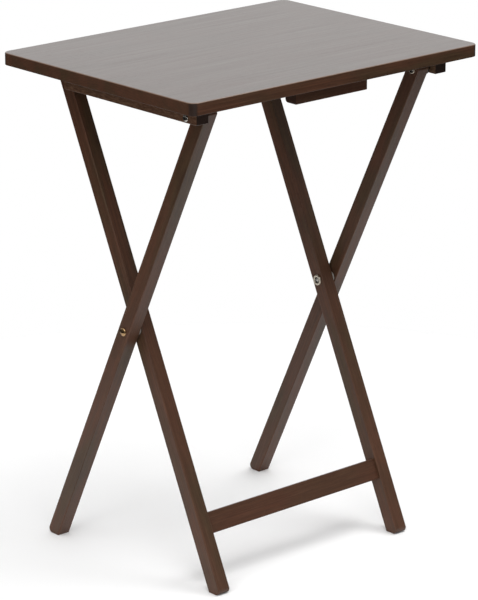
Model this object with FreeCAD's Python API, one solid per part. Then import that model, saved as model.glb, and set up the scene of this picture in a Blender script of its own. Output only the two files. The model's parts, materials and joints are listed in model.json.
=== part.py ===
import FreeCAD, Part
import math
import os

# Folding tray table, in millimetres.
# Frame: origin on the floor under the middle of the tabletop, +X along the tabletop's
# long side, +Y towards its far edge, +Z up. The table stands open and ready for use.
# Two outer legs lean one way and two inner legs the other. They cross at the scissor
# pivots, and the tabletop turns on the outer legs' tops at the near side and rests on a
# round crossbar between the inner legs' tops at the far side.

# ---- driving dimensions ---------------------------------------------------------------
table_height = 660.0          # floor to the top surface

top_length = 482.6            # tabletop along X
top_width = 368.3             # tabletop along Y
top_thick = 16.0
top_corner_radius = 11.0
top_edge_ease = 1.5

leg_thick = 19.0              # leg section across the table
leg_width = 20.0              # leg section in the plane of the scissor
leg_ease = 1.0
toe_radius = 6.0              # rounding of each foot's sharp corner
leg_past_pivot = 8.5          # leg's square top end past its top pivot
crown_radius = 4.0            # rounding of the top end's two corners

end_overhang = 30.7           # tabletop's end to the outer face of the cleat
cleat_thick = 18.6
top_joint_gap = 3.0           # cleat to outer leg
leg_joint_gap = 3.5           # outer leg to inner leg

scissor_height = 319.0        # floor to the scissor pivot
scissor_shift = 2.5           # scissor pivot past the middle of the two upper pivots
top_pivot_setback = 48.0      # tabletop's near edge to the top pivot
crossbar_setback = 28.0       # tabletop's far edge to the crossbar
pivot_drop = 15.0             # tabletop's underside to the top pivot and the crossbar

cleat_length = 252.0
cleat_lead = 19.5             # cleat in front of the top pivot
cleat_below_pivot = 6.4       # cleat under the top pivot
cleat_ease = 1.2

block_length = 120.0          # storage block under the near edge
block_depth = 20.0
block_height = 18.0
block_setback = 17.0          # tabletop's near edge to the block's front face
block_back_radius = 5.0
block_ease = 1.0

stretcher_width = 27.5        # along the leg
stretcher_thick = 12.0
stretcher_up = 75.0           # floor to the stretcher's lower edge, along the leg
stretcher_ease = 1.0
pin_dia = 6.0
pin_length = 24.0
pin_pitch = 14.0
pin_chamfer = 0.6

crossbar_dia = 16.0
tenon_dia = 10.0
tenon_length = 12.0

stop_length = 24.0            # crossbar stop along X
stop_wall = 12.0              # wall behind the crossbar
stop_lead = 12.0              # roof in front of the crossbar's axis
stop_inset = 38.0             # inner leg's inner face to the stop's middle
stop_ease = 1.0

bolt_dia = 5.0
bolt_chamfer = 0.6
scissor_head_dia = 11.0
scissor_head_height = 2.8
top_head_dia = 9.0
top_head_height = 2.4
head_rim = 0.6
scissor_nut_dia = 14.0
scissor_dish_dia = 8.2
top_nut_dia = 10.5
top_dish_dia = 7.0
nut_thick = 2.0
nut_dish_depth = 1.1
nut_chamfer = 0.5
bolt_end_sink = 0.5           # bolt's end inside the nut's dish
scissor_washer_dia = 17.0
top_washer_dia = 19.0

screw_dia = 4.0
screw_head_dia = 8.0
screw_head_height = 2.2
screw_tip = 4.0
screw_tip_dia = 0.8
screw_bite = 9.5              # screw inside the tabletop
cross_length = 4.4            # cross recess of every screw and bolt head
cross_width = 0.9
cross_depth = 1.3

running_gap = 0.08            # radial, bolt in a leg or cleat that turns on it
fixed_gap = 0.05              # radial, pin or screw in its hole
face_gap = 0.15               # between two faces that slide on each other
seat_gap = 0.3                # crossbar to its stop
blind_gap = 0.2               # end of a blind hole past its pin

# ---- places worked out from them ------------------------------------------------------
underside = table_height - top_thick
cleat_out = top_length / 2 - end_overhang
cleat_in = cleat_out - cleat_thick
outer_leg_out = cleat_in - top_joint_gap
outer_leg_in = outer_leg_out - leg_thick
inner_leg_out = outer_leg_in - leg_joint_gap
inner_leg_in = inner_leg_out - leg_thick

near_edge = -top_width / 2
far_edge = top_width / 2
top_pivot_y = near_edge + top_pivot_setback
crossbar_y = far_edge - crossbar_setback
pivot_z = underside - pivot_drop
scissor_y = (top_pivot_y + crossbar_y) / 2 + scissor_shift
cleat_height = pivot_drop + cleat_below_pivot
stop_x = inner_leg_in - stop_inset


def vec(x, y, z):
    return FreeCAD.Vector(x, y, z)


x_axis = vec(1, 0, 0)
top_pivot = vec(0, top_pivot_y, pivot_z)
crossbar_axis = vec(0, crossbar_y, pivot_z)
scissor_pivot = vec(0, scissor_y, scissor_height)


# ---- helpers --------------------------------------------------------------------------
def box(low, high):
    """A box between two opposite corners."""
    size = high.sub(low)
    return Part.makeBox(size.x, size.y, size.z, low)


def rod(dia, start_x, end_x, centre):
    """A cylinder along X through the given centre."""
    base = vec(start_x, centre.y, centre.z)
    return Part.makeCylinder(dia / 2, end_x - start_x, base, x_axis)


def cone(dia, end_dia, start_x, end_x, centre):
    """A cone along X, from one diameter to the other."""
    base = vec(start_x, centre.y, centre.z)
    return Part.makeCone(dia / 2, end_dia / 2, end_x - start_x, base, x_axis)


def ease(shape, radius, pick):
    """Round every edge that pick() chooses."""
    return shape.makeFillet(radius, [edge for edge in shape.Edges if pick(edge)])


def middle(edge):
    """The middle of the edge's box."""
    return edge.BoundBox.Center


def near(a, b):
    return abs(a - b) < 0.001


def mirrored(shape):
    """The left-hand copy of a right-hand piece."""
    return shape.mirror(vec(0, 0, 0), x_axis)


def along_leg(top, pivot):
    """Two directions: up the leg's length, and square to it towards +Y."""
    up = top.sub(pivot)
    up.normalize()
    return up, vec(0, up.z, -up.y)


def floor_point(point, up):
    """Where a line along the leg through the point meets the floor."""
    return point.sub(up * (point.z / up.z))


# ---- legs -----------------------------------------------------------------------------
def leg_blank(inner_x, top):
    """A leg with a square top end just past its pivot and a foot cut level with the floor."""
    up, side = along_leg(top, scissor_pivot)
    end = vec(inner_x, top.y, top.z).add(up * leg_past_pivot)
    half = leg_width / 2
    near_top = end.sub(side * half)
    far_top = end.add(side * half)
    near_foot = floor_point(near_top, up)
    far_foot = floor_point(far_top, up)
    outline = Part.makePolygon([near_foot, far_foot, far_top, near_top, near_foot])
    blank = Part.Face(outline).extrude(x_axis * leg_thick)
    toe = near_foot if up.y > 0 else far_foot

    def is_toe(edge):
        at = middle(edge)
        return near(at.y, toe.y) and near(at.z, 0) and near(edge.Length, leg_thick)

    def is_crown(edge):
        at = middle(edge)
        return at.z > scissor_height and near(edge.Length, leg_thick)

    def is_outline(edge):
        return near(edge.BoundBox.XLength, 0)

    blank = ease(blank, toe_radius, is_toe)
    blank = ease(blank, crown_radius, is_crown)
    return ease(blank, leg_ease, is_outline)


def outer_leg():
    leg = leg_blank(outer_leg_in, top_pivot)
    hole_dia = bolt_dia + 2 * running_gap
    for pivot in (top_pivot, scissor_pivot):
        leg = leg.cut(rod(hole_dia, outer_leg_in - 1, outer_leg_out + 1, pivot))
    return leg


def inner_leg():
    leg = leg_blank(inner_leg_in, crossbar_axis)
    hole_dia = bolt_dia + 2 * running_gap
    leg = leg.cut(rod(hole_dia, inner_leg_in - 1, inner_leg_out + 1, scissor_pivot))
    mortise_end = inner_leg_in + tenon_length + blind_gap
    leg = leg.cut(rod(tenon_dia + 2 * fixed_gap, inner_leg_in - 1, mortise_end, crossbar_axis))
    for centre in pin_centres():
        leg = leg.cut(pin_hole(centre))
    return leg


# ---- lower stretcher and upper crossbar -----------------------------------------------
def stretcher_middle():
    up, side = along_leg(crossbar_axis, scissor_pivot)
    foot = floor_point(scissor_pivot, up)
    return foot.add(up * (stretcher_up + stretcher_width / 2))


def pin_centres():
    up, side = along_leg(crossbar_axis, scissor_pivot)
    centre = stretcher_middle()
    return [centre.add(up * (step * pin_pitch / 2)) for step in (-1, 1)]


def pin_hole(centre):
    """The hole for one pin, half in the inner leg and half in the stretcher's end."""
    reach = pin_length / 2 + blind_gap
    return rod(pin_dia + 2 * fixed_gap, inner_leg_in - reach, inner_leg_in + reach, centre)


def lower_stretcher():
    """A flat rail between the inner legs, leaning as they lean."""
    up, side = along_leg(crossbar_axis, scissor_pivot)
    centre = stretcher_middle()
    half_up = up * (stretcher_width / 2)
    half_side = side * (stretcher_thick / 2)
    corners = [
        centre.sub(half_up).sub(half_side),
        centre.sub(half_up).add(half_side),
        centre.add(half_up).add(half_side),
        centre.add(half_up).sub(half_side),
    ]
    section = [vec(-inner_leg_in, at.y, at.z) for at in corners]
    rail = Part.Face(Part.makePolygon(section + section[:1])).extrude(x_axis * (2 * inner_leg_in))
    rail = ease(rail, stretcher_ease, lambda edge: near(edge.Length, 2 * inner_leg_in))
    for at in pin_centres():
        rail = rail.cut(pin_hole(at)).cut(mirrored(pin_hole(at)))
    return rail


def stretcher_pin(centre):
    """A plain pin with both ends chamfered."""
    start = inner_leg_in - pin_length / 2
    end = inner_leg_in + pin_length / 2
    end_dia = pin_dia - 2 * pin_chamfer
    body = rod(pin_dia, start + pin_chamfer, end - pin_chamfer, centre)
    first = cone(end_dia, pin_dia, start, start + pin_chamfer, centre)
    last = cone(pin_dia, end_dia, end - pin_chamfer, end, centre)
    return body.fuse([first, last]).removeSplitter()


def stretcher_pins():
    right = [stretcher_pin(centre) for centre in pin_centres()]
    return right + [mirrored(pin) for pin in right]


def upper_crossbar():
    """A round bar with a turned tenon on each end."""
    reach = inner_leg_in + tenon_length
    bar = rod(crossbar_dia, -inner_leg_in, inner_leg_in, crossbar_axis)
    return bar.fuse(rod(tenon_dia, -reach, reach, crossbar_axis)).removeSplitter()


# ---- tabletop and what is screwed to it -------------------------------------------------
def wood_screw(length, grow=0.0):
    """A countersunk screw that points up, its head at the origin. grow makes its hole."""
    radius = screw_dia / 2 + grow
    head = Part.makeCone(screw_head_dia / 2 + grow, radius, screw_head_height)
    shank = Part.makeCylinder(radius, length - screw_tip)
    tip = Part.makeCone(radius, screw_tip_dia / 2 + grow, screw_tip + grow,
                        vec(0, 0, length - screw_tip))
    screw = head.fuse([shank, tip]).removeSplitter()
    if grow > 0:
        return screw
    for length_x, length_y in ((cross_length, cross_width), (cross_width, cross_length)):
        low = vec(-length_x / 2, -length_y / 2, -1)
        screw = screw.cut(box(low, vec(length_x / 2, length_y / 2, cross_depth)))
    return screw


def cleat_screw_places():
    """Three screws up through each cleat, clear of the pivot."""
    first = top_pivot_y + 22
    last = top_pivot_y - cleat_lead + cleat_length - 18
    x = (cleat_in + cleat_out) / 2
    ys = (first, (first + last) / 2, last)
    return [vec(side * x, y, pivot_z - cleat_below_pivot) for side in (1, -1) for y in ys]


def block_screw_places():
    y = near_edge + block_setback + block_depth / 2
    x = block_length / 3
    return [vec(side * x, y, underside - block_height) for side in (1, -1)]


def stop_height():
    return pivot_drop + crossbar_dia / 2


def stop_screw_places():
    y = crossbar_y + crossbar_dia / 2 + seat_gap + stop_wall / 2
    z = underside - stop_height()
    return [vec(side * (stop_x + step * stop_length / 4), y, z)
            for side in (1, -1) for step in (-1, 1)]


def screw_sets():
    """Each set of screws: its places, and how much wood it passes before the tabletop."""
    return {
        "cleat_screws": (cleat_screw_places(), cleat_height),
        "block_screws": (block_screw_places(), block_height),
        "stop_screws": (stop_screw_places(), stop_height()),
    }


def screws(name):
    places, height = screw_sets()[name]
    return [wood_screw(height + screw_bite).translate(at) for at in places]


def drilled(piece, name):
    """The piece with the holes of one set of screws."""
    places, height = screw_sets()[name]
    for at in places:
        piece = piece.cut(wood_screw(height + screw_bite, fixed_gap).translate(at))
    return piece


def tabletop_panel():
    panel = box(vec(-top_length / 2, near_edge, underside),
                vec(top_length / 2, far_edge, table_height))
    panel = ease(panel, top_corner_radius, lambda edge: near(edge.Length, top_thick))
    panel = ease(panel, top_edge_ease, lambda edge: near(edge.BoundBox.ZLength, 0))
    for name in screw_sets():
        panel = drilled(panel, name)
    return panel


def cleat():
    """The rail under one end of the tabletop, which turns on the outer leg."""
    start = top_pivot_y - cleat_lead
    low = vec(cleat_in, start, underside - cleat_height)
    rail = box(low, vec(cleat_out, start + cleat_length, underside))

    def is_lower_edge(edge):
        return near(middle(edge).z, low.z)

    rail = ease(rail, cleat_ease, is_lower_edge)
    hole_dia = bolt_dia + 2 * running_gap
    rail = rail.cut(rod(hole_dia, cleat_in - 1, cleat_out + 1, top_pivot))
    return drilled(rail, "cleat_screws")


def storage_block():
    """The block under the near edge that hangs the folded table on its stand."""
    front = near_edge + block_setback
    back = front + block_depth
    bottom = underside - block_height
    block = box(vec(-block_length / 2, front, bottom), vec(block_length / 2, back, underside))

    def is_back_edge(edge):
        at = middle(edge)
        return near(at.y, back) and near(at.z, bottom)

    def is_other_lower_edge(edge):
        return near(middle(edge).z, bottom) and not is_back_edge(edge)

    block = ease(block, block_back_radius, is_back_edge)
    block = ease(block, block_ease, is_other_lower_edge)
    return drilled(block, "block_screws")


def crossbar_stop():
    """A block with a quarter-round seat, which stops the crossbar from spreading."""
    bottom = underside - stop_height()
    seat = crossbar_dia / 2 + seat_gap
    low = vec(stop_x - stop_length / 2, crossbar_y - stop_lead, bottom)
    high = vec(stop_x + stop_length / 2, crossbar_y + seat + stop_wall, underside)
    block = box(low, high)
    block = ease(block, stop_ease, lambda edge: near(edge.BoundBox.ZLength, high.z - low.z))
    block = block.cut(rod(2 * seat, low.x - 1, high.x + 1, crossbar_axis))
    below = box(vec(low.x - 1, low.y - 1, low.z - 1),
                vec(high.x + 1, crossbar_y + seat, pivot_z))
    front = box(vec(low.x - 1, low.y - 1, low.z - 1),
                vec(high.x + 1, crossbar_y, pivot_z + seat))
    block = block.cut([below, front])
    return drilled(block, "stop_screws")


# ---- pivot hardware -------------------------------------------------------------------
def dome(dia, height, seat_x, centre):
    """A domed bolt head that stands out from seat_x towards +X."""
    rise = height - head_rim
    ball_radius = ((dia / 2) ** 2 + rise ** 2) / (2 * rise)
    ball = Part.makeSphere(ball_radius, vec(seat_x + height - ball_radius, centre.y, centre.z))
    head = rod(dia, seat_x, seat_x + height, centre).common(ball)
    for length_y, length_z in ((cross_length, cross_width), (cross_width, cross_length)):
        low = vec(seat_x + height - cross_depth, centre.y - length_y / 2, centre.z - length_z / 2)
        high = vec(seat_x + height + 1, centre.y + length_y / 2, centre.z + length_z / 2)
        head = head.cut(box(low, high))
    return head


def bolt(head_dia, head_height, seat_x, end_x, centre):
    """A bolt from its head's seat inwards to its chamfered end."""
    end_dia = bolt_dia - 2 * bolt_chamfer
    shank = rod(bolt_dia, end_x + bolt_chamfer, seat_x, centre)
    end = cone(end_dia, bolt_dia, end_x, end_x + bolt_chamfer, centre)
    return dome(head_dia, head_height, seat_x, centre).fuse([shank, end]).removeSplitter()


def dished_nut(dia, dish_dia, face_x, centre):
    """A round nut with a dished outer face. Its flat face is at face_x."""
    end_x = face_x - nut_thick
    body = rod(dia, end_x + nut_chamfer, face_x, centre)
    rim = cone(dia - 2 * nut_chamfer, dia, end_x, end_x + nut_chamfer, centre)
    dish = rod(dish_dia, end_x - 1, end_x + nut_dish_depth, centre)
    bore = rod(bolt_dia + 2 * fixed_gap, end_x - 1, face_x + 1, centre)
    return body.fuse(rim).removeSplitter().cut([dish, bore])


def washer(dia, inner_x, outer_x, centre):
    """A flat spacer washer that fills the gap between two turning pieces."""
    ring = rod(dia, inner_x + face_gap, outer_x - face_gap, centre)
    return ring.cut(rod(bolt_dia + 2 * running_gap, inner_x, outer_x, centre))


def scissor_bolt():
    nut_face = inner_leg_in - face_gap
    end = nut_face - nut_thick + bolt_end_sink
    return bolt(scissor_head_dia, scissor_head_height, outer_leg_out, end, scissor_pivot)


def scissor_nut():
    return dished_nut(scissor_nut_dia, scissor_dish_dia, inner_leg_in - face_gap, scissor_pivot)


def scissor_washer():
    return washer(scissor_washer_dia, inner_leg_out, outer_leg_in, scissor_pivot)


def top_bolt():
    nut_face = outer_leg_in - face_gap
    end = nut_face - nut_thick + bolt_end_sink
    return bolt(top_head_dia, top_head_height, cleat_out + face_gap, end, top_pivot)


def top_nut():
    return dished_nut(top_nut_dia, top_dish_dia, outer_leg_in - face_gap, top_pivot)


def top_washer():
    return washer(top_washer_dia, outer_leg_out, cleat_in, top_pivot)


# ---- export ---------------------------------------------------------------------------
def export(name, solids):
    """Write one node. Each piece in it stays a separate solid."""
    shape = solids[0] if len(solids) == 1 else Part.makeCompound(solids)
    shape.exportStep("parts/" + name + ".step")
    volume = sum(solid.Volume for solid in solids)
    print(name, len(solids), "solid(s),", round(volume), "mm3, valid:", shape.isValid())


os.makedirs("parts", exist_ok=True)

single_pieces = {
    "tabletop_panel": tabletop_panel,
    "storage_block": storage_block,
    "lower_stretcher": lower_stretcher,
    "upper_crossbar": upper_crossbar,
}
paired_pieces = {
    "outer_leg": outer_leg,
    "inner_leg": inner_leg,
    "cleat": cleat,
    "crossbar_stop": crossbar_stop,
    "scissor_bolt": scissor_bolt,
    "scissor_nut": scissor_nut,
    "scissor_washer": scissor_washer,
    "top_bolt": top_bolt,
    "top_nut": top_nut,
    "top_washer": top_washer,
}
for name, make in single_pieces.items():
    export(name, [make()])
for name, make in paired_pieces.items():
    piece = make()
    export(name + "_right", [piece])
    export(name + "_left", [mirrored(piece)])
for name in screw_sets():
    export(name, screws(name))
export("stretcher_pins", stretcher_pins())

print("scissor pivot y, z:", round(scissor_pivot.y, 2), scissor_pivot.z)
print("top pivot y, z:", round(top_pivot.y, 2), top_pivot.z)
print("crossbar y, z:", round(crossbar_axis.y, 2), crossbar_axis.z)
for name, top in (("outer", top_pivot), ("inner", crossbar_axis)):
    up, side = along_leg(top, scissor_pivot)
    lean = math.degrees(math.atan2(abs(up.y), up.z))
    print(name, "leg leans", round(lean, 2), "degrees, foot at y", round(floor_point(top, up).y, 1))
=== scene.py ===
# %% [markdown]
# # Folding tray table
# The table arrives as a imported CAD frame: every leg, rail and bolt is already in place,
# in metres, standing open on the floor. This lesson dresses it. Pieces whose shape is
# already right, such as the legs, only get a finish. The tray itself and the small
# hardware get new meshes, because rounded corners, domed heads and cross recesses are
# what an eye looks for up close.

# %% Load the frame
import json
import math

import bmesh
import bpy
from mathutils import Matrix, Vector


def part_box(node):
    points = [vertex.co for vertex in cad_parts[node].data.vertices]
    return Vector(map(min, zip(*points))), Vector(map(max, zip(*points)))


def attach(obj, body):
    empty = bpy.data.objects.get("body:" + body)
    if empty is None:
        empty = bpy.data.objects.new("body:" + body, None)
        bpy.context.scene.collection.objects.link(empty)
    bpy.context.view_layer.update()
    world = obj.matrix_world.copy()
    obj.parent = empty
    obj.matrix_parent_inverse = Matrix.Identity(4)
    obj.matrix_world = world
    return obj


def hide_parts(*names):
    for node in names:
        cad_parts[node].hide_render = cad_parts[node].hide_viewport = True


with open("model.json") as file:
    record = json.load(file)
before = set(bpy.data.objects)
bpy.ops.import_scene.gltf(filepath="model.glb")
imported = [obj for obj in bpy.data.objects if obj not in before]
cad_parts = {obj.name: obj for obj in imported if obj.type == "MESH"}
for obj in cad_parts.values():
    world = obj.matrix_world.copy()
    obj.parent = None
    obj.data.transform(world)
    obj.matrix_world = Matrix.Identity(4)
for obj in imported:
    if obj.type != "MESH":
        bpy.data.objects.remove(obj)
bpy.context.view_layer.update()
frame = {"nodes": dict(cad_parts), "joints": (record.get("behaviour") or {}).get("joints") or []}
nodes = frame["nodes"]
sides = ("left", "right")

# %% [markdown]
# ## Where things are
# No place is typed in twice. The pivots come from the joints, and each face from the box
# of the node that carries it, so a change to the CAD moves the looks with it. A few small
# sizes that no box gives, such as the tray's corner radius and the bolts' shank, repeat
# the CAD's own and are named further down.

# %% Pivots and leans
joints = {joint["name"]: joint for joint in frame["joints"]}
scissor_at = Vector(joints["leg_fold"]["pos_m"])
top_pivot_at = Vector(joints["tabletop_lift"]["pos_m"])
crossbar_low, crossbar_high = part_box("upper_crossbar")
crossbar_at = Vector((0.0, *((crossbar_low + crossbar_high) / 2).yz))


def lean_of(top):
    """How far a leg leans towards +Y, as an angle about X."""
    run = top - scissor_at
    return math.atan2(run.y, run.z)


outer_lean = lean_of(top_pivot_at)
inner_lean = lean_of(crossbar_at)
print("leg leans in degrees:", [round(math.degrees(lean), 1) for lean in (outer_lean, inner_lean)])

# %% [markdown]
# ## Camera
# The table is seen from its near left corner and a little above, through a long lens,
# which keeps the four legs almost parallel.

# %% Camera
view_azimuth = math.radians(-41.68)
view_elevation = math.radians(17.52)
view_distance = 3.993
view_target = Vector((-0.0024, 0.0022, 0.3247))
lens_mm = 184.3
sensor_mm = 36.0

towards_camera = Vector((
    math.sin(view_azimuth) * math.cos(view_elevation),
    -math.cos(view_azimuth) * math.cos(view_elevation),
    math.sin(view_elevation),
))
camera_data = bpy.data.cameras.new("camera")
camera_data.lens = lens_mm
camera_data.sensor_width = sensor_mm
camera = bpy.data.objects.new("camera", camera_data)
camera.location = view_target + towards_camera * view_distance
camera.rotation_euler = (-towards_camera).to_track_quat("-Z", "Y").to_euler()
bpy.context.scene.collection.objects.link(camera)
bpy.context.scene.camera = camera
bpy.context.scene.view_settings.view_transform = "Standard"
print("camera at", tuple(round(v, 3) for v in camera.location))

# %% [markdown]
# ## Floor and light
# Studio paper is white but not endless. Here it is a round sheet nearly a metre out, and
# past it the room is dim, apart from a pale wall low down behind the table. That matters
# because a satin lacquer shows what it faces: the tray takes the wall's sheen, the lower
# legs take the paper's, and everything that faces the dim front stays brown. A wall could
# be a mesh, but a background costs nothing and can't get in the way of another view. The
# camera alone sees white past the paper, so no edge shows.


# %% A helper for meshes
def mesh_piece(name, bm, material):
    """Turn a bmesh into an object at the origin, with its place in its mesh."""
    mesh = bpy.data.meshes.new(name)
    bm.to_mesh(mesh)
    bm.free()
    mesh.materials.append(material)
    piece = bpy.data.objects.new(name, mesh)
    bpy.context.scene.collection.objects.link(piece)
    return piece


# %% Helpers for node trees
def new_node(tree, kind, **settings):
    """Add a node, set its named properties and return it."""
    node = tree.nodes.new(kind)
    for name, value in settings.items():
        setattr(node, name, value)
    return node


def wire(tree, *pairs):
    """Link each (output, input) pair."""
    for source, target in pairs:
        tree.links.new(source, target)


def new_material(name):
    """A material with its node tree and its main shader."""
    material = bpy.data.materials.new(name)
    material.use_nodes = True
    tree = material.node_tree
    return material, tree, tree.nodes["Principled BSDF"]


# %% Paper floor
paper_radius = 0.90
paper_steps = 96
paper_white = 0.94
paper_roughness = 0.95
paper_sheen = 0.05


def paper_material():
    """White paper that shows from above only, so a view from below isn't blocked."""
    material, tree, shader = new_material("studio_paper")
    shader.inputs["Base Color"].default_value = (paper_white, paper_white, paper_white, 1.0)
    shader.inputs["Roughness"].default_value = paper_roughness
    shader.inputs["Specular IOR Level"].default_value = paper_sheen
    underside = new_node(tree, "ShaderNodeNewGeometry").outputs["Backfacing"]
    clear = new_node(tree, "ShaderNodeBsdfTransparent").outputs["BSDF"]
    one_sided = new_node(tree, "ShaderNodeMixShader")
    wire(tree, (underside, one_sided.inputs[0]), (shader.outputs["BSDF"], one_sided.inputs[1]),
         (clear, one_sided.inputs[2]),
         (one_sided.outputs["Shader"], tree.nodes["Material Output"].inputs["Surface"]))
    return material


bm = bmesh.new()
bmesh.ops.create_circle(bm, cap_ends=True, segments=paper_steps, radius=paper_radius)
floor = mesh_piece("studio_floor", bm, paper_material())
print("paper:", paper_radius * 2, "m across")


# %% Sums and steps
def arithmetic(tree, operation, first, second=0.0, clamp=False):
    """A Math node. Each operand may be a socket or a number."""
    node = new_node(tree, "ShaderNodeMath", operation=operation, use_clamp=clamp)
    for slot, value in enumerate((first, second)):
        if isinstance(value, bpy.types.NodeSocket):
            wire(tree, (value, node.inputs[slot]))
        else:
            node.inputs[slot].default_value = value
    return node.outputs["Value"]


def rise(tree, value, start, end, low=0.0, high=1.0):
    """A smooth step from low at start to high at end, or a falling one if start is above end."""
    node = new_node(tree, "ShaderNodeMapRange", interpolation_type="SMOOTHSTEP")
    node.inputs["From Min"].default_value = start
    node.inputs["From Max"].default_value = end
    node.inputs["To Min"].default_value = low
    node.inputs["To Max"].default_value = high
    wire(tree, (value, node.inputs["Value"]))
    return node.outputs["Result"]


# %% [markdown]
# ## The room's glow
# The room is a world background, brighter or dimmer by how high and which way a ray
# looks. Heights are the ray's upward share, from -1 straight down to 1 straight up.

# %% Room light
ceiling_glow = 0.92
ceiling_heights = (0.40, 0.75)
room_glow = 0.18
wall_glow = 0.95
wall_spread = (0.20, 0.95)
wall_top_heights = (0.45, 0.75)
past_paper_glow = 0.04
horizon_heights = (-0.05, 0.03)
wall_direction = Vector((-towards_camera.x, -towards_camera.y, 0.0)).normalized()

world = bpy.data.worlds.new("studio_room")
world.use_nodes = True
bpy.context.scene.world = world
tree = world.node_tree
background = tree.nodes["Background"]
background.inputs["Color"].default_value = (1.0, 1.0, 1.0, 1.0)
direction = new_node(tree, "ShaderNodeTexCoord").outputs["Generated"]
split = new_node(tree, "ShaderNodeSeparateXYZ")
facing_wall = new_node(tree, "ShaderNodeVectorMath", operation="DOT_PRODUCT")
facing_wall.inputs[1].default_value = wall_direction
wire(tree, (direction, split.inputs["Vector"]), (direction, facing_wall.inputs[0]))
height = split.outputs["Z"]
glow = rise(tree, height, *ceiling_heights, room_glow, ceiling_glow)
wall = arithmetic(tree, "MULTIPLY", rise(tree, facing_wall.outputs["Value"], *wall_spread),
                  rise(tree, height, *wall_top_heights, wall_glow - room_glow, 0.0))
glow = arithmetic(tree, "ADD", glow, wall)
glow = arithmetic(tree, "MULTIPLY", glow, rise(tree, height, *horizon_heights))
glow = arithmetic(tree, "MAXIMUM", glow, past_paper_glow)
seen_white = new_node(tree, "ShaderNodeMix")
seen_white.inputs[3].default_value = 1.0
wire(tree, (new_node(tree, "ShaderNodeLightPath").outputs["Is Camera Ray"], seen_white.inputs[0]),
     (glow, seen_white.inputs[2]), (seen_white.outputs[0], background.inputs["Strength"]))
print("room light:", len(tree.nodes), "nodes")

# %% [markdown]
# ## Lamps
# Four square lamps give the shadows and the shine. Two hang high, one on each side, and
# the left one is wide, which keeps the floor's shadows soft. Two stand low and lift the
# sides that the high ones only graze. The low left one is kept out of reflections, or the
# tray would mirror it as a hard white patch when it is seen from the right.


# %% Soft panels
def soft_panel(name, place, aim, size, watts, mirrored=True):
    """A square lamp that the camera doesn't see. One that isn't mirrored adds no highlights."""
    data = bpy.data.lights.new(name, "AREA")
    data.shape = "SQUARE"
    data.size = size
    data.energy = watts
    panel = bpy.data.objects.new(name, data)
    panel.location = place
    panel.rotation_euler = (aim - Vector(place)).to_track_quat("-Z", "Y").to_euler()
    panel.visible_camera = False
    panel.visible_glossy = mirrored
    bpy.context.scene.collection.objects.link(panel)
    return panel


shin_height = Vector((0.0, 0.0, 0.3))
waist_height = Vector((0.0, 0.0, 0.5))
panels = (
    soft_panel("left_panel", (-1.6, -1.1, 2.5), shin_height, size=2.6, watts=36.0),
    soft_panel("right_panel", (0.9, -0.6, 2.6), shin_height, size=1.2, watts=24.0),
    soft_panel("low_left_panel", (-2.2, -0.4, 0.7), waist_height, size=0.8, watts=9.0,
               mirrored=False),
    soft_panel("low_front_panel", (-1.1, -2.3, 0.9), waist_height, size=0.8, watts=9.0),
)
print("lamps:", ", ".join(panel.name for panel in panels))

# %% [markdown]
# ## Stained wood
# The whole table is one light hardwood under a dark espresso stain and a satin lacquer.
# Three things make it read as wood: growth rings, which are cylinders round the heart of
# the tree and show as streaks on a board's face, long fine fibres, and short dark pores.
# All three are drawn in the board's own space, turned so that its third axis runs along
# the grain. The stain is thinner on the corners, where a Bevel node finds the edges, and
# end grain drinks more of it, so faces that look along the grain are darker.


# %% Grain space and its textures
def ramp(tree, factor, stops):
    """A colour ramp through (position, grey or colour) stops."""
    node = new_node(tree, "ShaderNodeValToRGB")
    elements = node.color_ramp.elements
    while len(elements) < len(stops):
        elements.new(0.5)
    for element, (position, colour) in zip(elements, stops):
        element.position = position
        element.color = (*colour, 1.0) if isinstance(colour, tuple) else (colour,) * 3 + (1.0,)
    wire(tree, (factor, node.inputs["Fac"]))
    return node.outputs["Color"]


def blend_colour(tree, factor, first, second):
    """Mix two colours. The factor and each colour may be a socket or a value."""
    node = new_node(tree, "ShaderNodeMix", data_type="RGBA")
    for slot, value in ((0, factor), (6, first), (7, second)):
        if isinstance(value, bpy.types.NodeSocket):
            wire(tree, (value, node.inputs[slot]))
        else:
            node.inputs[slot].default_value = value if slot == 0 else (*value, 1.0)
    return node.outputs[2]


def grain_space(tree, turn, offset):
    """Object coordinates turned so that Z runs along the grain."""
    mapping = new_node(tree, "ShaderNodeMapping")
    mapping.inputs["Rotation"].default_value = turn
    mapping.inputs["Location"].default_value = offset
    place = new_node(tree, "ShaderNodeTexCoord")
    wire(tree, (place.outputs["Object"], mapping.inputs["Vector"]))
    return mapping.outputs["Vector"]


def stretched(tree, space, across, along):
    """The grain space with different scales across and along the grain."""
    mapping = new_node(tree, "ShaderNodeMapping")
    mapping.inputs["Scale"].default_value = (across, across, along)
    wire(tree, (space, mapping.inputs["Vector"]))
    return mapping.outputs["Vector"]


def noise(tree, vector, detail=3.0, roughness=0.55, distortion=0.0):
    """A noise texture's value, between 0 and 1."""
    node = new_node(tree, "ShaderNodeTexNoise")
    node.inputs["Scale"].default_value = 1.0
    node.inputs["Detail"].default_value = detail
    node.inputs["Roughness"].default_value = roughness
    node.inputs["Distortion"].default_value = distortion
    wire(tree, (vector, node.inputs["Vector"]))
    return node.outputs["Fac"]


ring_stretch = 0.07


def growth_rings(tree, space, per_metre, wobble):
    """Rings round the grain axis, warped a little along the board."""
    node = new_node(tree, "ShaderNodeTexWave", wave_type="RINGS", rings_direction="Z")
    node.inputs["Scale"].default_value = 1.0
    node.inputs["Distortion"].default_value = wobble
    node.inputs["Detail"].default_value = 3.0
    node.inputs["Detail Scale"].default_value = 1.4
    node.inputs["Detail Roughness"].default_value = 0.6
    wire(tree, (stretched(tree, space, per_metre, per_metre * ring_stretch), node.inputs["Vector"]))
    return node.outputs["Fac"]


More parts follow.
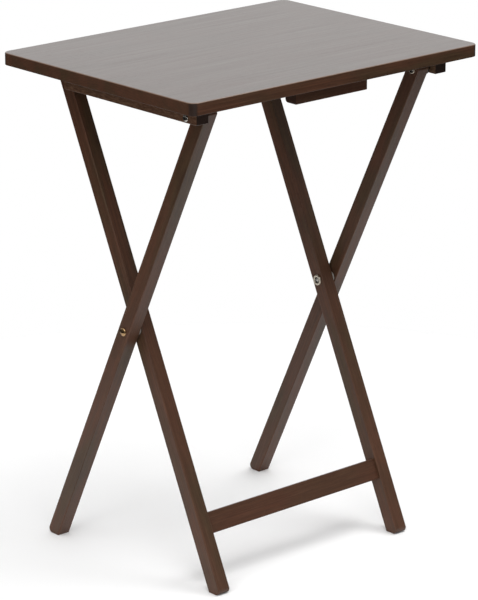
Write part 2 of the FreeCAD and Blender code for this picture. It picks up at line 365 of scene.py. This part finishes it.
def add_bump(tree, shader, height, strength, distance):
    """Raise and sink the surface a little, by a height between 0 and 1."""
    bump = new_node(tree, "ShaderNodeBump")
    bump.inputs["Strength"].default_value = strength
    bump.inputs["Distance"].default_value = distance
    wire(tree, (height, bump.inputs["Height"]), (bump.outputs["Normal"], shader.inputs["Normal"]))


# %% [markdown]
# ## Where a surface is worn
# Wear needs to know where the edges and ends are. A Bevel node looks a little way round
# each point, so its normal differs from the face's own only near an edge. The other
# masks compare the face's direction with one of the piece's own axes.


# %% Edges and end grain
edge_gain = 6.0


def edge_mask(tree, reach):
    """1 on the eased edges and 0 on the flats."""
    bevel = new_node(tree, "ShaderNodeBevel", samples=6)
    bevel.inputs["Radius"].default_value = reach
    geometry = new_node(tree, "ShaderNodeNewGeometry")
    dot = new_node(tree, "ShaderNodeVectorMath", operation="DOT_PRODUCT")
    wire(tree, (bevel.outputs["Normal"], dot.inputs[0]),
         (geometry.outputs["Normal"], dot.inputs[1]))
    turned_away = arithmetic(tree, "SUBTRACT", 1.0, dot.outputs["Value"])
    return arithmetic(tree, "MULTIPLY", turned_away, edge_gain, clamp=True)


def facing(tree, direction):
    """The cosine between a face and a direction, in the piece's own space."""
    place = new_node(tree, "ShaderNodeTexCoord")
    dot = new_node(tree, "ShaderNodeVectorMath", operation="DOT_PRODUCT")
    dot.inputs[1].default_value = direction
    wire(tree, (place.outputs["Normal"], dot.inputs[0]))
    return dot.outputs["Value"]


def end_grain_mask(tree, along):
    """1 where a face looks along the grain."""
    return rise(tree, arithmetic(tree, "ABSOLUTE", facing(tree, along)), 0.70, 0.92)


# The tray uses this mask to paint shade on its rounded corners.
def round_corner_mask(tree):
    """1 on the upright corners, between the two pairs of edge faces."""
    across = arithmetic(tree, "MULTIPLY", facing(tree, (1, 0, 0)), facing(tree, (0, 1, 0)))
    return rise(tree, arithmetic(tree, "ABSOLUTE", across), 0.12, 0.42)


# %% [markdown]
# ## One recipe for all the wood
# The colours go from deep espresso to the tan of rubbed corners. Each texture has a
# scale across the grain and a smaller one along it, in features per metre, so that
# everything is drawn out lengthwise, as it is in a tree.

# %% The wood itself
# The darkest stain also paints shade on the tray's underside and lower rim.
stain_dark_and_underside_shade = (0.035, 0.0160, 0.0088)
stain_mid = (0.073, 0.0330, 0.0172)
stain_olive = (0.062, 0.0355, 0.0170)
stain_red = (0.092, 0.0370, 0.0195)
stain_russet = (0.070, 0.0240, 0.0120)
# The worn tan also paints a highlight along the tray's upper rim.
stain_worn_and_rim_highlight = (0.155, 0.086, 0.050)
# The pore colour also paints shade on the tray's rounded corners.
pore_dark_and_corner_shade = (0.020, 0.011, 0.008)
edge_reach = 0.0014
patch_grain = (34.0, 7.5)
fibre_grain = (1500.0, 22.0)
streak_grain = (330.0, 5.0)
pore_grain = (2100.0, 75.0)
ring_wobble = 5.0
wood_sheen = 0.28
wood_bump = 0.30
wood_relief = 0.00008


def stained_wood(name, turn, along, offset, rings, end_depth=0.55, roughness=0.42, russet=0.0):
    """Espresso-stained hardwood with its grain along a direction. Rings is per metre across."""
    material, tree, shader = new_material(name)
    space = grain_space(tree, turn, offset)

    patch = noise(tree, stretched(tree, space, *patch_grain), detail=2.0, distortion=0.5)
    fibre = noise(tree, stretched(tree, space, *fibre_grain), detail=4.0, roughness=0.6)
    streak = noise(tree, stretched(tree, space, *streak_grain), detail=3.0, roughness=0.6)
    pore_noise = noise(tree, stretched(tree, space, *pore_grain), detail=1.0)
    ring = growth_rings(tree, space, rings, ring_wobble)
    pores = rise(tree, pore_noise, 0.63, 0.72)

    tone = ramp(tree, patch, [(0.18, stain_dark_and_underside_shade), (0.35, stain_olive), (0.47, stain_mid),
                              (0.59, stain_red), (0.76, stain_mid)])
    if russet:
        tone = blend_colour(tree, russet, tone, stain_russet)
    tone = blend_colour(tree, rise(tree, ring, 0.15, 0.95, 0.0, 0.30), tone, stain_dark_and_underside_shade)
    tone = blend_colour(tree, rise(tree, streak, 0.62, 0.38, 0.0, 0.35), tone, stain_dark_and_underside_shade)
    tone = blend_colour(tree, rise(tree, fibre, 0.45, 0.78, 0.0, 0.30), tone, stain_worn_and_rim_highlight)
    tone = blend_colour(tree, arithmetic(tree, "MULTIPLY", pores, 0.6), tone, pore_dark_and_corner_shade)
    rub = arithmetic(tree, "MULTIPLY", edge_mask(tree, edge_reach),
                     rise(tree, streak, 0.40, 0.68, 0.10, 0.60))
    tone = blend_colour(tree, rub, tone, stain_worn_and_rim_highlight)
    shade = arithmetic(tree, "MULTIPLY", end_grain_mask(tree, along), end_depth)
    tone = blend_colour(tree, shade, tone, pore_dark_and_corner_shade)
    rough = rise(tree, streak, 0.3, 0.7, roughness - 0.05, roughness + 0.08)
    wire(tree, (tone, shader.inputs["Base Color"]), (rough, shader.inputs["Roughness"]))
    shader.inputs["Specular IOR Level"].default_value = wood_sheen

    height = arithmetic(tree, "SUBTRACT", arithmetic(tree, "MULTIPLY", fibre, 0.5), pores)
    height = arithmetic(tree, "ADD", height, arithmetic(tree, "MULTIPLY", ring, 0.25))
    add_bump(tree, shader, height, wood_bump, wood_relief)
    return material


# %% [markdown]
# ## Grain directions
# A maker cuts every piece with the grain along its length, or it would snap. So each
# group of pieces gets its own copy of the wood: legs along their lean, cleats front to
# back, and the rest from end to end. The tray has more coats of lacquer than the rest,
# because it is what gets wiped, and so more sheen. The rails come from redder boards.

# %% Wood for each direction
quarter_turn = math.pi / 2
along_x = (0, -quarter_turn, 0)
along_y = (quarter_turn, 0, 0)


def leg_direction(lean):
    """The way that a leg of this lean points."""
    return (0.0, math.sin(lean), math.cos(lean))


outer_leg_wood = stained_wood("espresso_outer_leg", (outer_lean, 0, 0), leg_direction(outer_lean),
                              (0.031, 0.057, 0.21), 210.0)
inner_leg_wood = stained_wood("espresso_inner_leg", (inner_lean, 0, 0), leg_direction(inner_lean),
                              (-0.043, 0.036, 1.19), 190.0)
cleat_wood = stained_wood("espresso_cleat", along_y, (0, 1, 0),
                          (0.013, 0.047, 0.33), 180.0, end_depth=0.85)
rail_wood = stained_wood("espresso_rail", along_x, (1, 0, 0),
                         (0.027, 0.061, 0.55), 200.0, russet=0.55)
tray_wood = stained_wood("espresso_tray", along_x, (1, 0, 0),
                         (0.36, 0.03, 1.4), 95.0, end_depth=0.2)
print("woods:", ", ".join(wood.name for wood in (outer_leg_wood, inner_leg_wood, cleat_wood,
                                                 rail_wood, tray_wood)))

# %% [markdown]
# ## Lacquer, rubbing, painted shade and highlight
# The tray's face is darker under its extra coats, and the coats carry the sheen. Where
# open pores reach through them the sheen breaks up into short flecks. Shade is painted
# on the tray's rounded corners, underside and lower rim, and a highlight is painted along
# its upper rim. The cleats are rubbed, because they are what hands hold when the top is
# lifted.

# %% Tray lacquer and rubbed cleats
face_depth = 0.76
# The corners get painted shade, and the upper rim a painted highlight.
corner_painted_shade = 0.95
rim_painted_highlight = 0.8
coat_roughness = 0.30
coat_streak_grain = (75.0, 4.5)
coat_fleck_grain = (620.0, 95.0)
coat_figure_grain = (26.0, 6.0)
pore_hold = 0.16
cleat_fleck_grain = (820.0, 210.0)


def colour_so_far(material):
    """A material's tree, its shader and the colour that it has up to now."""
    tree = material.node_tree
    shader = tree.nodes["Principled BSDF"]
    return tree, shader, shader.inputs["Base Color"].links[0].from_socket


def lacquer_tray(material):
    """Deepen the face, paint shade on the corners, underside and lower rim, paint a highlight on
    the upper rim, and lay a coat on the face.
    """
    tree, shader, tone = colour_so_far(material)
    upward = facing(tree, (0, 0, 1))
    # The face gets a deeper tone, and the underside and lower rim get painted shade.
    deep = arithmetic(tree, "MAXIMUM", rise(tree, upward, -0.15, -0.50),
                      rise(tree, upward, 0.90, 0.99, 0.0, face_depth))
    tone = blend_colour(tree, deep, tone, stain_dark_and_underside_shade)
    # Painted shade: the rounded corners are darkened nearly to black.
    corner = arithmetic(tree, "MULTIPLY", round_corner_mask(tree), corner_painted_shade)
    tone = blend_colour(tree, corner, tone, pore_dark_and_corner_shade)
    # A painted highlight along the upper rim.
    rim = arithmetic(tree, "MULTIPLY", rise(tree, upward, 0.25, 0.60),
                     rise(tree, upward, 0.99, 0.90))
    tone = blend_colour(tree, arithmetic(tree, "MULTIPLY", rim, rim_painted_highlight), tone, stain_worn_and_rim_highlight)

    space = grain_space(tree, along_x, (0.2, 0.1, 0.7))
    streaks = noise(tree, stretched(tree, space, *coat_streak_grain), detail=4.0, distortion=0.6)
    flecks = noise(tree, stretched(tree, space, *coat_fleck_grain), detail=2.0)
    figure = noise(tree, stretched(tree, space, *coat_figure_grain), detail=3.0, distortion=1.2)
    coat = arithmetic(tree, "MULTIPLY", rise(tree, upward, 0.30, 0.80),
                      rise(tree, streaks, 0.30, 0.70, 0.96, 1.0))
    open_pores = arithmetic(tree, "MULTIPLY", rise(tree, flecks, 0.54, 0.68),
                            rise(tree, figure, 0.42, 0.62, 0.25, 1.0))
    open_pores = arithmetic(tree, "MULTIPLY", open_pores, pore_hold)
    coat = arithmetic(tree, "MULTIPLY", coat, arithmetic(tree, "SUBTRACT", 1.0, open_pores))
    wire(tree, (tone, shader.inputs["Base Color"]), (coat, shader.inputs["Coat Weight"]))
    shader.inputs["Coat Roughness"].default_value = coat_roughness


def rub_cleat(material):
    """Scatter short rubbed flecks over the sides of the cleats."""
    tree, shader, tone = colour_so_far(material)
    space = grain_space(tree, along_y, (0.11, 0.07, 0.4))
    fleck = noise(tree, stretched(tree, space, *cleat_fleck_grain), detail=3.0)
    fleck = rise(tree, fleck, 0.42, 0.62, 0.10, 0.80)
    sideways = rise(tree, arithmetic(tree, "ABSOLUTE", facing(tree, (1, 0, 0))), 0.60, 0.90)
    tone = blend_colour(tree, arithmetic(tree, "MULTIPLY", fleck, sideways), tone, stain_worn_and_rim_highlight)
    wire(tree, (tone, shader.inputs["Base Color"]))


lacquer_tray(tray_wood)
rub_cleat(cleat_wood)
print("tray lacquer:", len(tray_wood.node_tree.nodes), "nodes")


# %% Finish the CAD's wooden pieces
def finish(node, material):
    """Give a CAD node its finish."""
    mesh = nodes[node].data
    mesh.materials.clear()
    mesh.materials.append(material)


for side in sides:
    finish("outer_leg_" + side, outer_leg_wood)
    finish("inner_leg_" + side, inner_leg_wood)
    finish("cleat_" + side, cleat_wood)
    finish("crossbar_stop_" + side, rail_wood)
rails = ("storage_block", "lower_stretcher", "upper_crossbar")
for node in rails:
    finish(node, rail_wood)
print("finished four legs, two cleats, two stops and", ", ".join(rails))

# %% [markdown]
# ## The tray
# The tray is a flat board with rounded corners and eased rims. It could be a CAD node
# with a finish, but a highlight runs along its rim in every view, so it is made again
# here as a cube whose four upright edges and then both rims are bevelled finely. The
# lower rim is nearly sharp, as it is on a board that was only eased where hands go.

# %% Tray board
corner_radius = 0.011
upper_rim_radius = 0.0015
lower_rim_radius = 0.0007
corner_steps = 14
rim_steps = 5


def bevel_edges(bm, edges, offset, segments):
    """A round bevel."""
    bmesh.ops.bevel(bm, geom=edges, offset=offset, offset_type="OFFSET", segments=segments,
                    profile=0.5, affect="EDGES", material=-1)


def tray_board(name):
    """The tray's board, with rounded corners and eased rims."""
    low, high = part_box("tabletop_panel")
    bm = bmesh.new()
    whole = Matrix.LocRotScale((low + high) / 2, None, high - low)
    bmesh.ops.create_cube(bm, size=1.0, matrix=whole)
    upright = [edge for edge in bm.edges if abs(edge.verts[0].co.z - edge.verts[1].co.z) > 1e-6]
    bevel_edges(bm, upright, corner_radius, corner_steps)
    for upward, radius in ((1, upper_rim_radius), (-1, lower_rim_radius)):
        flat = next(face for face in bm.faces if face.normal.z * upward > 0.9)
        bevel_edges(bm, list(flat.edges), radius, rim_steps)
    return mesh_piece(name, bm, tray_wood)


def shade_smooth(piece, sharp_above=35.0):
    """Smooth shading that keeps edges sharper than the angle, in degrees."""
    mesh = piece.data
    mesh.shade_smooth()
    mesh.set_sharp_from_angle(angle=math.radians(sharp_above))


tray = tray_board("tray_board")
shade_smooth(tray)
weights = tray.modifiers.new("flat faces stay flat", "WEIGHTED_NORMAL")
weights.keep_sharp = True
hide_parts("tabletop_panel")
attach(tray, "tabletop")
print("tray board:", len(tray.data.polygons), "faces")

# %% [markdown]
# ## Metal
# Plated hardware is never one even shine. A broad noise lets the plating dull and
# roughen in patches, a fine one gives it a faint relief, and the edges are polished by
# handling. Shade is painted into recesses and dishes, where a surface is hemmed in, and
# an Ambient Occlusion node finds those. The brass is only on the scissor bolts' heads, so
# their shanks are bare steel.


# %% Metal finishes
# A near-black for the shade painted into recesses and dishes.
recess_shade = (0.030, 0.026, 0.022)
bare_steel = (0.50, 0.48, 0.44)
cavity_reach = 0.0022
cavity_openness = (0.97, 0.70)
cavity_depth = 0.88
dull_patch_grain = (320.0, 320.0)
scratch_grain = (2700.0, 900.0)
metal_edge_reach = 0.0005
plating_fade = 0.002
metal_bump = 0.15
metal_relief = 0.00004


def cavity_mask(tree, reach):
    """1 deep in a recess and 0 on open faces."""
    hemmed = new_node(tree, "ShaderNodeAmbientOcclusion", samples=6, only_local=True)
    hemmed.inputs["Distance"].default_value = reach
    return rise(tree, hemmed.outputs["AO"], *cavity_openness)


def plated_metal(name, bright, dull, roughness, plated_beyond=0.0):
    """Plated metal, dull in patches and finely scratched, with shade painted into its recesses. It
    is plated only beyond an |X|.
    """
    material, tree, shader = new_material(name)
    space = new_node(tree, "ShaderNodeTexCoord").outputs["Object"]
    patch = noise(tree, stretched(tree, space, *dull_patch_grain), detail=3.0)
    fine = noise(tree, stretched(tree, space, *scratch_grain), detail=2.0)
    rub = edge_mask(tree, metal_edge_reach)
    tone = blend_colour(tree, rise(tree, patch, 0.38, 0.66), bright, dull)
    tone = blend_colour(tree, arithmetic(tree, "MULTIPLY", rub, 0.5), tone, bright)
    if plated_beyond:
        split = new_node(tree, "ShaderNodeSeparateXYZ")
        wire(tree, (space, split.inputs["Vector"]))
        out = arithmetic(tree, "ABSOLUTE", split.outputs["X"])
        tone = blend_colour(tree, rise(tree, out, plated_beyond, plated_beyond - plating_fade),
                            tone, bare_steel)
    # Painted shade: hemmed-in recesses are darkened towards near-black.
    painted_recess_shade = arithmetic(tree, "MULTIPLY", cavity_mask(tree, cavity_reach), cavity_depth)
    tone = blend_colour(tree, painted_recess_shade, tone, recess_shade)
    rough = rise(tree, patch, 0.35, 0.7, roughness - 0.06, roughness + 0.12)
    rough = arithmetic(tree, "SUBTRACT", rough, arithmetic(tree, "MULTIPLY", rub, 0.08))
    wire(tree, (tone, shader.inputs["Base Color"]), (rough, shader.inputs["Roughness"]))
    shader.inputs["Metallic"].default_value = 1.0
    add_bump(tree, shader, fine, metal_bump, metal_relief)
    return material


leg_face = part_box("outer_leg_right")[1].x
brass = plated_metal("aged_brass", (0.50, 0.32, 0.16), (0.24, 0.145, 0.070), 0.20,
                     plated_beyond=leg_face)
nickel = plated_metal("nickel_plate", (0.50, 0.47, 0.43), (0.26, 0.245, 0.225), 0.20)
warm_nickel = plated_metal("warm_nickel_plate", (0.74, 0.67, 0.56), (0.64, 0.58, 0.48), 0.32)
zinc = plated_metal("zinc_plate", (0.60, 0.61, 0.62), (0.38, 0.39, 0.40), 0.36)
dark_steel = plated_metal("black_oxide_steel", (0.090, 0.085, 0.080), (0.045, 0.043, 0.041), 0.40)
print("metals:", ", ".join(metal.name for metal in (brass, nickel, warm_nickel, zinc, dark_steel)))


# %% [markdown]
# ## Nylon and bare beech
# The spacers between the crossing legs are grey nylon, and the stretcher's pins are the
# only wood that was never stained. Both show only from close by, so a mottled colour and
# a faint relief are enough for them.

# %% Nylon and bare beech
nylon_light = (0.40, 0.38, 0.35)
nylon_dark = (0.30, 0.285, 0.26)
nylon_rubbed = (0.5, 0.48, 0.45)
nylon_edge_reach = 0.0006
mottle_grain = (260.0, 260.0)
moulded_grain = (4200.0, 4200.0)
beech_light = (0.50, 0.34, 0.19)
beech_dark = (0.36, 0.22, 0.115)
beech_fleck = (0.20, 0.10, 0.05)
beech_fibre_grain = (1600.0, 30.0)
beech_fleck_grain = (1900.0, 320.0)


def spacer_nylon():
    """Grey moulded nylon, faintly mottled and waxy."""
    material, tree, shader = new_material("spacer_nylon")
    space = new_node(tree, "ShaderNodeTexCoord").outputs["Object"]
    mottle = noise(tree, stretched(tree, space, *mottle_grain), detail=3.0)
    fine = noise(tree, stretched(tree, space, *moulded_grain), detail=2.0)
    tone = blend_colour(tree, rise(tree, mottle, 0.35, 0.7), nylon_light, nylon_dark)
    rub = arithmetic(tree, "MULTIPLY", edge_mask(tree, nylon_edge_reach), 0.5)
    tone = blend_colour(tree, rub, tone, nylon_rubbed)
    rough = rise(tree, mottle, 0.3, 0.7, 0.42, 0.56)
    wire(tree, (tone, shader.inputs["Base Color"]), (rough, shader.inputs["Roughness"]))
    add_bump(tree, shader, fine, 0.2, 0.00005)
    return material


def bare_beech():
    """Unstained beech for the pins, with its short brown flecks."""
    material, tree, shader = new_material("bare_beech")
    space = grain_space(tree, along_x, (0.02, 0.01, 0.3))
    fibre = noise(tree, stretched(tree, space, *beech_fibre_grain), detail=4.0)
    fleck = noise(tree, stretched(tree, space, *beech_fleck_grain), detail=1.0)
    fleck = arithmetic(tree, "MULTIPLY", rise(tree, fleck, 0.60, 0.70), 0.5)
    tone = ramp(tree, fibre, [(0.35, beech_dark), (0.7, beech_light)])
    tone = blend_colour(tree, fleck, tone, beech_fleck)
    rough = rise(tree, fibre, 0.3, 0.7, 0.55, 0.70)
    wire(tree, (tone, shader.inputs["Base Color"]), (rough, shader.inputs["Roughness"]))
    add_bump(tree, shader, fibre, 0.25, 0.00006)
    return material


nylon = spacer_nylon()
finish("stretcher_pins", bare_beech())
for node in ("cleat_screws", "block_screws", "stop_screws"):
    finish(node, zinc)
print("finished the pins and the screws")

# %% [markdown]
# ## Bolts, nuts and washers
# All of these are turned shapes, so each is one outline spun round its own axis, which
# is also how a lathe or a header makes them. The outline is given as (place along the
# axis, radius) steps. The left-hand set is the right-hand one mirrored.


# %% Turning an outline
turn_steps = 56
weld_distance = 1e-6


def turned(outline, axis_at, closed):
    """Spin an outline of (x, radius) steps round a line along X."""
    bm = bmesh.new()
    verts = [bm.verts.new((x, axis_at.y, axis_at.z + radius)) for x, radius in outline]
    pairs = list(zip(verts, verts[1:] + verts[:1] if closed else verts[1:]))
    edges = [bm.edges.new(pair) for pair in pairs]
    bmesh.ops.spin(bm, geom=verts + edges, cent=(0, axis_at.y, axis_at.z), axis=(1, 0, 0),
                   angle=math.tau, steps=turn_steps, use_merge=True)
    bmesh.ops.remove_doubles(bm, verts=bm.verts, dist=weld_distance)
    bmesh.ops.recalc_face_normals(bm, faces=bm.faces)
    return bm


def mirror_left(bm):
    """Turn a right-hand piece into its left-hand copy."""
    bmesh.ops.scale(bm, vec=(-1, 1, 1), verts=bm.verts)
    bmesh.ops.recalc_face_normals(bm, faces=bm.faces)


def arc(centre, radii, start, end, steps):
    """Points on an ellipse from one angle to another, in degrees, as (x, radius) steps."""
    angles = [math.radians(start + (end - start) * i / steps) for i in range(steps + 1)]
    return [(centre[0] + radii[0] * math.cos(angle), centre[1] + radii[1] * math.sin(angle))
            for angle in angles]


def place_hardware(piece, node, body):
    """Show the piece in its node's place and let it move with its body."""
    shade_smooth(piece)
    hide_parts(node)
    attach(piece, body)


# %% [markdown]
# ## Domed bolts with a cross recess
# A boolean cuts the recess, because its walls have to meet a curved dome. The cutter is
# two crossed bars that narrow towards their tips. It is used once and then removed.

# %% Bolts
shank_radius = 0.0025
recess_reach = 0.0023
recess_width = 0.0010
recess_depth = 0.0014
head_rim = 0.0005
shank_chamfer = 0.0005
head_lift = 0.00015
recess_taper = (1, 0.45, 0.6)


def bolt_outline(low_x, high_x, face_x, head_radius):
    """Half a domed bolt's section, from the end of its shank to the top of its head."""
    dome = arc((face_x + head_rim, 0.0), (high_x - face_x - head_rim, head_radius), 90, 0, 10)
    dome[-1] = (high_x, 0.0)
    shank = [(low_x, 0.0), (low_x, shank_radius - shank_chamfer),
             (low_x + shank_chamfer, shank_radius), (face_x, shank_radius)]
    rim = [(face_x, head_radius - head_rim),
           (face_x + head_rim * 0.3, head_radius - head_rim * 0.2)]
    return shank + rim + dome


def recess_cutter(tip_x, axis_at, twist):
    """Two crossed bars whose tips point down into the head."""
    bm = bmesh.new()
    for turn in (0.0, quarter_turn):
        bar = bmesh.ops.create_cube(bm, size=1.0)["verts"]
        bmesh.ops.scale(bm, vec=(recess_depth * 2, recess_reach * 2, recess_width), verts=bar)
        deep = [vert for vert in bar if vert.co.x < 0]
        bmesh.ops.scale(bm, vec=recess_taper, verts=deep)
        turned_bar = Matrix.Rotation(turn + twist, 3, "X")
        bmesh.ops.rotate(bm, cent=(0, 0, 0), matrix=turned_bar, verts=bar)
    bmesh.ops.translate(bm, vec=(tip_x, axis_at.y, axis_at.z), verts=bm.verts)
    return bm


def cut_once(piece, cutter):
    """Apply a boolean cut to the piece's own mesh, then remove the cutter."""
    cut = piece.modifiers.new("recess", "BOOLEAN")
    cut.object = cutter
    cut.solver = "EXACT"
    cut.use_self = True
    evaluated = piece.evaluated_get(bpy.context.evaluated_depsgraph_get())
    cut_mesh = bpy.data.meshes.new_from_object(evaluated)
    piece.modifiers.clear()
    old = piece.data
    piece.data = cut_mesh
    bpy.data.meshes.remove(old)
    bpy.data.objects.remove(cutter)


def domed_bolt(node, face_x, axis_at, side, material, twist, body):
    """A bolt in place of its node, with its head on the face and its recess at a twist."""
    low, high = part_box(node)
    flip = side == "left"
    low_x, high_x = (-high.x, -low.x) if flip else (low.x, high.x)
    bm = turned(bolt_outline(low_x, high_x, face_x, (high.z - low.z) / 2), axis_at, closed=False)
    cutter_bm = recess_cutter(high_x, axis_at, twist)
    if flip:
        mirror_left(bm)
        mirror_left(cutter_bm)
    piece = mesh_piece("domed_" + node, bm, material)
    cut_once(piece, mesh_piece("recess_cutter", cutter_bm, material))
    place_hardware(piece, node, body)
    return piece


cleat_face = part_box("cleat_right")[1].x
for side, twist in (("left", 0.5), ("right", 1.1)):
    domed_bolt("scissor_bolt_" + side, leg_face + head_lift, scissor_at, side, brass, twist,
               "outer_frame")
    piece = domed_bolt("top_bolt_" + side, cleat_face + head_lift, top_pivot_at, side, nickel,
                       twist + 0.6, "top_pivot")
print("bolt faces:", len(piece.data.polygons))

# %% [markdown]
# ## Dished nuts and spacer washers
# Each nut is round, with a rolled rim and a dish in which the bolt's end shows. Shade
# is painted into the dish, and a mask by distance from the bolt's axis puts it there. The
# washers keep wood from rubbing on wood. Both are closed outlines, spun whole.


# %% Nut and washer outlines
nut_roll = 0.0005
nut_ease = 0.0002
dish_depth = 0.0011
dish_draft = 0.0004
washer_ease = 0.0004
nut_clearance = 0.00005
washer_clearance = 0.00008


def nut_outline(face_x, end_x, radius, dish, bore):
    """Half a nut's section: flat on its face, rolled at its rim and dished at its end."""
    rim = arc((end_x + nut_roll, radius - nut_roll), (-nut_roll, nut_roll), 90, 0, 4)
    inner_roll = nut_roll * 0.6
    lip = arc((end_x + inner_roll, dish + nut_roll), (-inner_roll, inner_roll), 0, -90, 3)
    return ([(face_x, bore), (face_x, radius - nut_ease), (face_x - nut_ease, radius)] + rim + lip
            + [(end_x + dish_depth, dish - dish_draft), (end_x + dish_depth, bore)])


def washer_outline(low_x, high_x, radius, bore):
    """Half a washer's section, with its rim eased."""
    edge = radius - washer_ease
    outer = (arc((low_x + washer_ease, edge), (-washer_ease, washer_ease), 0, 90, 3)
             + arc((high_x - washer_ease, edge), (washer_ease, washer_ease), 90, 0, 3))
    return [(low_x, bore)] + outer + [(high_x, bore)]


# %% Nuts and washers
scissor_dish_radius = 0.0041
top_dish_radius = 0.0035
dish_fade = (0.0003, -0.0001)


def dished_plate(name, axis_at, dish, darkness):
    """Warm nickel plate with shade painted into its dish, up to the rolled rim."""
    material = warm_nickel.copy()
    material.name = name
    tree, shader, tone = colour_so_far(material)
    place = new_node(tree, "ShaderNodeTexCoord")
    from_axis = new_node(tree, "ShaderNodeVectorMath", operation="SUBTRACT")
    from_axis.inputs[1].default_value = (0.0, axis_at.y, axis_at.z)
    flat = new_node(tree, "ShaderNodeVectorMath", operation="MULTIPLY")
    flat.inputs[1].default_value = (0.0, 1.0, 1.0)
    radius = new_node(tree, "ShaderNodeVectorMath", operation="LENGTH")
    wire(tree, (place.outputs["Object"], from_axis.inputs[0]),
         (from_axis.outputs["Vector"], flat.inputs[0]),
         (flat.outputs["Vector"], radius.inputs[0]))
    start, end = (dish + step for step in dish_fade)
    # Painted shade: the dish is darkened inside its rolled rim.
    inside = rise(tree, radius.outputs["Value"], start, end, 0.0, darkness)
    wire(tree, (blend_colour(tree, inside, tone, recess_shade), shader.inputs["Base Color"]))
    return material


def turned_piece(name, node, outline, axis_at, side, material, body):
    """A spun piece in place of its node."""
    bm = turned(outline, axis_at, closed=True)
    if side == "left":
        mirror_left(bm)
    piece = mesh_piece(name, bm, material)
    place_hardware(piece, node, body)
    return piece


# name, axis, dish radius, how dark the dish is, body, washer's finish and slot
sets = (("scissor", scissor_at, scissor_dish_radius, 0.86, "outer_frame", nylon, "spacer_nylon"),
        ("top", top_pivot_at, top_dish_radius, 0.40, "top_pivot", dark_steel, "dark_washer"))
for name, axis_at, dish, darkness, body, washer_finish, washer_slot in sets:
    plate = dished_plate(name + "_nut_plate", axis_at, dish, darkness)
    for side in sides:
        low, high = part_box(name + "_nut_right")
        turned_piece(f"dished_{name}_nut_{side}", f"{name}_nut_{side}",
                     nut_outline(high.x, low.x, (high.z - low.z) / 2, dish,
                                 shank_radius + nut_clearance),
                     axis_at, side, plate, body)
        low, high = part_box(name + "_washer_right")
        piece = turned_piece(f"eased_{name}_washer_{side}", f"{name}_washer_{side}",
                             washer_outline(low.x, high.x, (high.z - low.z) / 2,
                                            shank_radius + washer_clearance),
                             axis_at, side, washer_finish, body)
print("washer faces:", len(piece.data.polygons))
